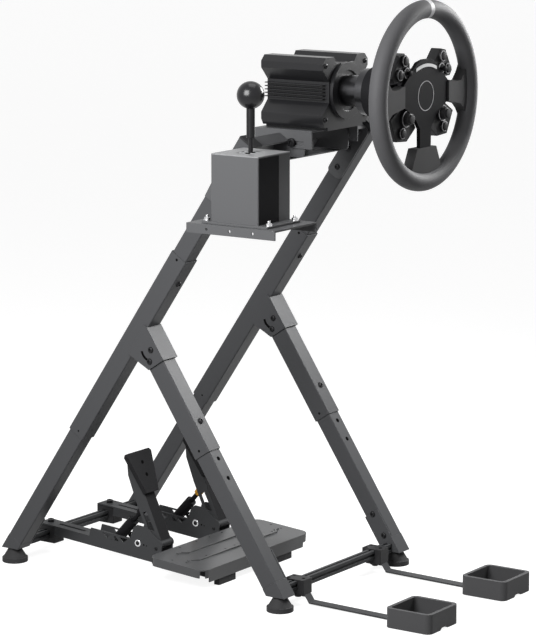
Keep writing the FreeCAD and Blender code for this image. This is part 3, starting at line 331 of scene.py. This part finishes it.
def makeRowTree():
    tree = bpy.data.node_groups.new("turnedRow", "GeometryNodeTree")
    sockets = {}
    for label, kind in (("Spots", "Geometry"), ("Shape", "Object"), ("Finish", "Material")):
        socket = tree.interface.new_socket(label, in_out="INPUT", socket_type="NodeSocket" + kind)
        sockets[label] = socket.identifier
    tree.interface.new_socket("Row", in_out="OUTPUT", socket_type="NodeSocketGeometry")
    given = addNode(tree, "NodeGroupInput")
    shape = addNode(tree, "GeometryNodeObjectInfo")
    aim = addNode(tree, "GeometryNodeInputNamedAttribute", {"Name": "aim"})
    aim.data_type = "FLOAT_VECTOR"
    grow = addNode(tree, "GeometryNodeInputNamedAttribute", {"Name": "grow"})
    grow.data_type = "FLOAT"
    turn = addNode(tree, "FunctionNodeAlignRotationToVector")
    turn.axis = "Z"
    spread = addNode(tree, "GeometryNodeInstanceOnPoints")
    real = addNode(tree, "GeometryNodeRealizeInstances")
    coat = addNode(tree, "GeometryNodeSetMaterial")
    result = addNode(tree, "NodeGroupOutput")
    join = tree.links.new
    join(given.outputs["Spots"], spread.inputs["Points"])
    join(given.outputs["Shape"], shape.inputs["Object"])
    join(shape.outputs["Geometry"], spread.inputs["Instance"])
    join(aim.outputs["Attribute"], turn.inputs["Vector"])
    join(turn.outputs["Rotation"], spread.inputs["Rotation"])
    join(grow.outputs["Attribute"], spread.inputs["Scale"])
    join(spread.outputs["Instances"], real.inputs["Geometry"])
    join(real.outputs["Geometry"], coat.inputs["Geometry"])
    join(given.outputs["Finish"], coat.inputs["Material"])
    join(coat.outputs["Geometry"], result.inputs["Row"])
    return tree, sockets


rowTree, rowSockets = makeRowTree()


def turnedRow(name, look):
    mesh = bpy.data.meshes.new(name)
    mesh.from_pydata([rigPoint(*spot[:3]) for spot in look["spots"]], [], [])
    mesh.attributes.new("aim", "FLOAT_VECTOR", "POINT")
    mesh.attributes.new("grow", "FLOAT", "POINT")
    for i, spot in enumerate(look["spots"]):
        mesh.attributes["aim"].data[i].vector = Vector(spot[3])
        mesh.attributes["grow"].data[i].value = spot[4]
    stock = newPiece(name + "Stock", turnedMesh(look["shape"]), None)
    piece = newPiece(name, mesh, None)
    setOut = piece.modifiers.new("row", "NODES")
    setOut.node_group = rowTree
    setOut[rowSockets["Shape"]] = stock
    setOut[rowSockets["Finish"]] = materials[look["finish"]]
    settled(piece)
    bpy.data.objects.remove(stock)
    return dress(piece, look["body"], look["slot"])


outward, inward, forward = (1, 0, 0), (-1, 0, 0), (0, -1, 0)  # on the right side
upward, downward = (0, 0, 1), (0, 0, -1)


def bothSides(x, y, z, aim, grow=1):  # the same spot on the left and on the right
    return [(side * x, y, z, (side * aim[0], aim[1], aim[2]), grow) for side in (-1, 1)]


def eachFace(middle, half, y, z, grow=1):  # both side faces of a pair of tubes
    return bothSides(middle + half, y, z, outward, grow) + bothSides(middle - half, y, z, inward, grow)


postLean, strutLean, railLean, armLean = (math.radians(lean) for lean in (34, 33.314, 4.5, 24.3))
postFront = (0, -math.cos(postLean), -math.sin(postLean))
strutFront = (0, -math.cos(strutLean), math.sin(strutLean))
padAim = (0, -math.cos(armLean), math.sin(armLean))
plateAim = (0, -math.sin(railLean), math.cos(railLean))
footReach, footTop = 299, 27  # where the tubes' axes start
tubeX, outerHalf, innerHalf, knuckleWall = 192, 18.2, 16.2, 3.3
knuckleHalf = outerHalf + knuckleWall
pedalX, cheekHalf = 91, 18
pivot = inRig(jointAt["strut_fold"])
wheelAxis = inRig(jointAt["wheel_turn"])
damperPin = inRig(jointAt["throttle_cylinder_tilt"])
plateFront, podFront = inRig(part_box("hub_plate")[0]).y, inRig(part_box("button_pods")[0]).y


def onPostFront(along):  # y and z on the front of a post's tube
    return (footReach - math.sin(postLean) * along - math.cos(postLean) * outerHalf,
            footTop + math.cos(postLean) * along - math.sin(postLean) * outerHalf)


def onStrutFront(along, half):  # y and z on the front of a strut's tube
    return (-footReach + math.sin(strutLean) * along - math.cos(strutLean) * half,
            footTop + math.cos(strutLean) * along + math.sin(strutLean) * half)


def onArm(pedal, back, up):  # y and z of a point on a pedal's arm
    pin = inRig(jointAt[pedal + "_press"])
    return (pin.y + back * math.cos(armLean) + up * math.sin(armLean),
            pin.z - back * math.sin(armLean) + up * math.cos(armLean))


heelTop = {"railY": 293.6, "railZ": 37, "above": 34, "hole": 0.6}


def onPlate(x, y):  # a spot on the top of the heel plate
    back = (heelTop["railY"] - y - heelTop["above"] * math.sin(railLean)) / math.cos(railLean)
    z = heelTop["railZ"] - back * math.sin(railLean) + heelTop["above"] * math.cos(railLean)
    return x, y, z, plateAim, heelTop["hole"]


def onWheel(spots, out, grow=1):  # left and right of the wheel's axis
    return [spot for x, z in spots for spot in bothSides(x, podFront - out, wheelAxis.z + z, forward, grow)]


def onSides(x, spots, aim, grow=1):  # several spots on the side faces of a pair
    return [spot for y, z in spots for spot in bothSides(x, y, z, aim, grow)]


def onCheeks(*spots):  # both faces of the pedals' cheeks
    return [spot for y, z, grow in spots for spot in eachFace(pedalX, cheekHalf, y, z, grow)]


def screws(body, spots, shape="buttonHead"):
    return {"body": body, "shape": shape, "finish": "blackScrew", "slot": "black_metal", "spots": spots}


# near-black discs laid where holes and screw recesses are: painted shade in place of their depth
def holeShadeDiscs(body, spots):
    return {"body": body, "shape": "dimple", "finish": "holeShade", "slot": "black_metal", "spots": spots}


def steel(body, shape, spots):
    return {"body": body, "shape": shape, "finish": "brightSteel", "slot": "bare_steel", "spots": spots}


def wheelPart(shape, finish, slot, spots):
    return {"body": "steering_wheel", "shape": shape, "finish": finish, "slot": slot, "spots": spots}


pedals = {"throttle": {"x": pedalX, "sleeve": "goldAnodise", "slot": "bare_steel"},
          "brake": {"x": -pedalX, "sleeve": "blackAnodise", "slot": "black_metal"}}
armSpots = {"padScrewBack": -15, "padScrewUp": (130, 154), "padScrew": 1.2, "rodBack": 12, "rodUp": 76,
            "sleeveFrom": 10}
rodPins = {pedal: onArm(pedal, armSpots["rodBack"], armSpots["rodUp"]) for pedal in pedals}
rodAim = Vector((0, damperPin.y - rodPins["throttle"][0], damperPin.z - rodPins["throttle"][1])).normalized()


def padScrewSpots(pedal):
    return [(pedals[pedal]["x"], *onArm(pedal, armSpots["padScrewBack"], up), padAim, armSpots["padScrew"])
            for up in armSpots["padScrewUp"]]


def sleeveRow(pedal):
    (y, z), along = rodPins[pedal], armSpots["sleeveFrom"]
    spot = (pedals[pedal]["x"], y + along * rodAim.y, z + along * rodAim.z, rodAim, 1)
    return {"body": pedal + "_plunger", "shape": "sleeve", "finish": pedals[pedal]["sleeve"],
            "slot": pedals[pedal]["slot"], "spots": [spot]}


shoeX, deckX, trayX, motorX = 172.5, 172.8, 75, 63  # how far out the screws sit
clampTop, clampUnder = 45, 14.9
nutRow = {"x": (-315, -238), "y": (-359.5, -233.5), "z": 701.7, "grow": 0.9}
pushSpots, stickSpots, rotarySpots = ((62, 64), (78, 41), (69, -59)), ((57, 43),), ((60, -35),)
ringSpots = pushSpots + stickSpots
bezelTall, rotaryTall, rotaryGrow = 3.8, 5.5, 1.45
rows = {
    "pivotBolts": screws("frame", eachFace(tubeX, knuckleHalf, pivot.y, pivot.z)),
    "lockBolts": screws("struts", eachFace(tubeX, knuckleHalf, pivot.y + 2.6, pivot.z - 21.2)),
    "postScrews": screws("frame", bothSides(tubeX, *onPostFront(655), postFront)),
    "postDimples": holeShadeDiscs("frame", eachFace(tubeX, outerHalf, -92, 606.4, 0.8)
                         + eachFace(tubeX, outerHalf, 131, 272.3, 0.6)),
    "strutScrews": screws("struts", bothSides(tubeX, *onStrutFront(338, outerHalf), strutFront)),
    "strutDimples": holeShadeDiscs("struts", eachFace(tubeX, outerHalf, -138.4, 269.3, 0.8)),
    "strutLegHoles": holeShadeDiscs("strut_feet", onSides(
        tubeX, [onStrutFront(along, innerHalf) for along in (225.3, 264.1)], strutFront, 1.35)),
    "shoeScrewsFront": screws("strut_feet", onSides(shoeX, ((-258.7, 93.3), (-283.4, 56)), inward)),
    "shoeScrewsRear": screws("rear_legs", onSides(shoeX, ((258.7, 93.3), (283.4, 56)), inward)),
    "deckScrews": screws("upper", onSides(deckX, ((-200.4, 771.5), (-176.8, 736.5), (-223.8, 806)), inward)),
    "trayBolts": screws("upper", onSides(trayX, ((-188.8, 809.6), (-244.8, 811)), outward), "knobBolt"),
    "motorScrews": screws("upper", onSides(
        motorX, [(wheelAxis.y, wheelAxis.z + z) for z in (-47, 47)], forward, 0.8)),
    "baseNuts": steel("upper", "hexNut", [(x, y, nutRow["z"], upward, nutRow["grow"])
                                          for x in nutRow["x"] for y in nutRow["y"]]),
    "railScrews": screws("rear_legs", bothSides(pedalX, 293.5, 54.6, plateAim, 1.15), "capScrew"),
    "clampHoles": holeShadeDiscs("strut_feet", [spot for x, y in ((136, -279.5), (118, -279.5), (127, -305))
                                       for spot in bothSides(x, y, clampTop, upward, 1.1)]),
    "clampBolts": screws("strut_feet", bothSides(127, -293.6, clampUnder, downward, 1.15), "washerHead"),
    "cheekRings": steel("rear_legs", "boltRing", onCheeks((74.5, 49.2, 0.85))),
    "cheekBolts": screws("rear_legs", onCheeks((74.5, 49.2, 0.8), (33.1, 44.4, 0.62))),
    "cheekHoles": holeShadeDiscs("rear_legs", onCheeks((61, 47.5, 0.55), (55, 46.5, 0.4))),
    "plateHoles": holeShadeDiscs("rear_legs", [onPlate(x, -67) for x in (-152, -122, -90, -30, 0, 30, 90, 122, 152)]
                        + [onPlate(x, -4.5) for x in (-86, -34, 7, 47, 86)]
                        + [onPlate(x, -40) for x in (-158, 158)]),
    **{pedal + "Screws": holeShadeDiscs(pedal, padScrewSpots(pedal)) for pedal in pedals},
    **{pedal + "Sleeve": sleeveRow(pedal) for pedal in pedals},
    "buttonBezels": wheelPart("bezel", "mouldedBlack", "black_plastic",
                              onWheel(ringSpots, 0) + onWheel(rotarySpots, 0, rotaryGrow)),
    "buttonRings": wheelPart("thinRing", "silverPaint", "bare_steel", onWheel(ringSpots, bezelTall)),
    "pushButtons": wheelPart("pushButton", "mouldedBlack", "black_plastic", onWheel(pushSpots, bezelTall)),
    "stickButtons": wheelPart("stickButton", "blackAnodise", "black_plastic", onWheel(stickSpots, bezelTall)),
    "rotaryRings": wheelPart("wideRing", "silverPaint", "bare_steel", onWheel(rotarySpots, rotaryTall)),
    "rotaryKnobs": wheelPart("rotaryKnob", "mouldedBlack", "black_plastic", onWheel(rotarySpots, rotaryTall)),
    "hubRing": wheelPart("hubRing", "silverPaint", "bare_steel", [(0, plateFront, wheelAxis.z, forward, 1)]),
}
for name, look in rows.items():
    turnedRow(name, look)
print("rows set out:", len(rows))


# Single parts

def solidFrom(name, finish, points, faces):
    mesh = bpy.data.meshes.new(name)
    mesh.from_pydata(points, [], faces)
    work = bmesh.new()
    work.from_mesh(mesh)
    bmesh.ops.recalc_face_normals(work, faces=work.faces)
    work.to_mesh(mesh)
    work.free()
    return settled(newPiece(name, mesh, finish))


revBar = {"half": 33, "top": 55.5, "fall": 6.5, "tall": 5.5, "thick": 1.2, "steps": 24}


def makeRevBar(look):  # pale light strip over the hub
    front, back = plateFront - look["thick"], plateFront
    points, faces = [], []
    for i in range(look["steps"] + 1):
        x = look["half"] * (2 * i / look["steps"] - 1)
        top = wheelAxis.z + look["top"] - look["fall"] * (x / look["half"]) ** 2
        for y, z in ((front, top), (front, top - look["tall"]), (back, top - look["tall"]), (back, top)):
            points.append(rigPoint(x, y, z))
    for i in range(look["steps"]):
        for k in range(4):
            a, b = 4 * i + k, 4 * i + (k + 1) % 4
            faces.append((a, b, b + 4, a + 4))
    faces += [(0, 1, 2, 3), tuple(4 * look["steps"] + k for k in (3, 2, 1, 0))]
    return dress(solidFrom("revBar", "paleLens", points, faces), "steering_wheel", "black_plastic")


makeRevBar(revBar)

stripe = {"ring": 148.8, "tube": 16.35, "wide": 11, "around": 40, "steps": 4}


def makeStripe(look):  # centre mark around the top of the rim
    middle = inRig(middleOf("wheel_rim"))
    turn = look["wide"] / look["ring"] / 2
    around = look["around"]
    points, faces = [], []
    for i in range(look["steps"] + 1):
        side = turn * (2 * i / look["steps"] - 1)
        for k in range(around):
            bend = 2 * math.pi * k / around
            reach = look["ring"] + look["tube"] * math.cos(bend)
            points.append(rigPoint(middle.x + reach * math.sin(side), middle.y + look["tube"] * math.sin(bend),
                                   wheelAxis.z + reach * math.cos(side)))
    for i in range(look["steps"]):
        for k in range(around):
            a, b = around * i + k, around * i + (k + 1) % around
            faces.append((a, b, b + around, a + around))
    last = around * look["steps"]
    faces += [tuple(range(around)), tuple(last + k for k in reversed(range(around)))]
    return dress(solidFrom("stripe", "silverPaint", points, faces), "steering_wheel", "grip_leather")


makeStripe(stripe)

boxFaces = [(0, 1, 3, 2), (4, 5, 7, 6), (0, 1, 5, 4), (2, 3, 7, 6), (0, 2, 6, 4), (1, 3, 7, 5)]
# painted reflection: the case's front is split into a dark left part and a lighter right part
casePanel = {"left": 3, "right": 61, "thick": 0.5, "inset": 1}


def makeCaseReflectionPanel(look):  # painted reflection: a near-black panel over the left part of the shifter case's front leaves the right part lighter, as a reflection would
    low, high = (inRig(corner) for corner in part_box("shifter_case"))
    points = [rigPoint(x, y, z) for x in (low.x + look["left"], low.x + look["right"])
              for y in (low.y - look["thick"], low.y) for z in (low.z + look["inset"], high.z - look["inset"])]
    return dress(solidFrom("casePanel", "blackAnodise", points, boxFaces), "upper", "black_plastic")


makeCaseReflectionPanel(casePanel)

lockSlot = {"radius": 20.5, "half": 2.6, "start": -83, "sweep": 75, "sunk": (1.2, 0.8), "steps": 10}


def makeLockSlotShades(look):  # painted shade: near-black strips sunk in the curved slots of the knuckles, where the slots read dark
    points, faces = [], []
    for side, face in ((-1, -1), (-1, 1), (1, -1), (1, 1)):
        first = len(points)
        for step in range(look["steps"] + 1):
            turn = math.radians(look["start"] + look["sweep"] * step / look["steps"])
            for radius in (look["radius"] - look["half"], look["radius"] + look["half"]):
                for sunk in look["sunk"]:
                    points.append(rigPoint(side * (tubeX + face * (knuckleHalf - sunk)),
                                           pivot.y + radius * math.cos(turn),
                                           pivot.z + radius * math.sin(turn)))
        for start in range(first, len(points) - 4, 4):
            faces += [(start + a, start + b, start + 4 + b, start + 4 + a)
                      for a, b in ((0, 1), (1, 3), (3, 2), (2, 0))]
        faces += [tuple(end + corner for corner in (0, 1, 3, 2)) for end in (first, len(points) - 4)]
    return dress(solidFrom("lockSlotShade", "holeShade", points, faces), "frame", "black_metal")


makeLockSlotShades(lockSlot)

armStrip = {"half": 13.6, "thick": 0.5, "face": -6.0, "reach": (6, 95)}


def makeArmStrip(pedal, look):  # thin black strip on the front of a pedal's arm
    points = [rigPoint(pedals[pedal]["x"] + x, *onArm(pedal, back, up)) for x in (-look["half"], look["half"])
              for back in (look["face"] - look["thick"], look["face"]) for up in look["reach"]]
    return dress(solidFrom(pedal + "Strip", "padRubber", points, boxFaces), pedal, "black_rubber")


for pedal in pedals:
    makeArmStrip(pedal, armStrip)
print("single parts made")


# Floor, light and camera

def directSight(tree):  # 1 for what the lens, a mirror or glass sees
    path = addNode(tree, "ShaderNodeLightPath")
    total = path.outputs["Is Camera Ray"]
    for kind in ("Is Glossy Ray", "Is Transmission Ray"):
        either = addNode(tree, "ShaderNodeMath")
        either.operation = "MAXIMUM"
        tree.links.new(total, either.inputs[0])
        tree.links.new(path.outputs[kind], either.inputs[1])
        total = either.outputs["Value"]
    return total


floorLook = {"size": 40, "color": (0.26, 0.26, 0.26), "bounce": (0.22, 0.22, 0.22), "rough": 0.9,
             "glow": 0.88}


def makeFloor(look):  # white to the lens, grey to the light it throws back
    bpy.ops.mesh.primitive_plane_add(size=look["size"])
    floor = bpy.context.object
    floor.name = "floor"
    material = bpy.data.materials.new("paleFloor")
    material.use_nodes = True
    tree = material.node_tree
    join = tree.links.new
    shader = tree.nodes["Principled BSDF"]
    shader.inputs["Roughness"].default_value = look["rough"]
    shader.inputs["Emission Color"].default_value = (1, 1, 1, 1)
    seen = directSight(tree)
    glow = addNode(tree, "ShaderNodeMath", {1: look["glow"]})
    glow.operation = "MULTIPLY"
    join(seen, glow.inputs[0])
    join(glow.outputs["Value"], shader.inputs["Emission Strength"])
    shade = addNode(tree, "ShaderNodeMix")
    shade.data_type = "RGBA"
    shade.inputs["A"].default_value = (*look["bounce"], 1)
    shade.inputs["B"].default_value = (*look["color"], 1)
    join(seen, shade.inputs["Factor"])
    join(shade.outputs["Result"], shader.inputs["Base Color"])
    floor.data.materials.append(material)


makeFloor(floorLook)

roomLook = {"ambient": 0.02, "seen": 1}


def makeRoom(look):
    world = bpy.data.worlds.new("paleRoom")
    scene.world = world
    world.use_nodes = True
    tree = world.node_tree
    background = tree.nodes["Background"]
    background.inputs["Color"].default_value = (1, 1, 1, 1)
    level = addNode(tree, "ShaderNodeMapRange", {"To Min": look["ambient"], "To Max": look["seen"]})
    tree.links.new(directSight(tree), level.inputs["Value"])
    tree.links.new(level.outputs["Result"], background.inputs["Strength"])


makeRoom(roomLook)

lampAim = Vector((0, 0, 0.5))
lamps = {
    "sideSoftbox": {"at": (-1.3, -0.15, 1.35), "size": 0.8, "power": 28},
    "fillSoftbox": {"at": (-3.0, 0.0, 2.0), "size": 2.2, "power": 60},
    "gleamSoftbox": {"at": (1.2, -0.6, 1.25), "size": 0.6, "power": 34},
    "topSoftbox": {"at": (0.2, -0.3, 3.2), "size": 1.6, "power": 20},
}
for name, lamp in lamps.items():
    light = bpy.data.lights.new(name, "AREA")
    light.size = lamp["size"]
    light.energy = lamp["power"]
    stand = bpy.data.objects.new(name, light)
    stand.location = lamp["at"]
    stand.rotation_euler = (lampAim - stand.location).to_track_quat("-Z", "Y").to_euler()
    scene.collection.objects.link(stand)

viewpoint = {"at": (-4319.5, -3106.0, 1427.0), "yaw": 55.539, "pitch": 10.3185, "lens": 165.7, "sensor": 36}


def makeCamera(look):
    lens = bpy.data.cameras.new("photoCamera")
    lens.sensor_width = look["sensor"]
    lens.lens = look["lens"]
    camera = bpy.data.objects.new("photoCamera", lens)
    camera.location = rigPoint(*look["at"])
    camera.rotation_euler = (math.radians(90 - look["pitch"]), 0, -math.radians(look["yaw"]))
    scene.collection.objects.link(camera)
    scene.camera = camera


makeCamera(viewpoint)
print("stage, lamps and camera set")
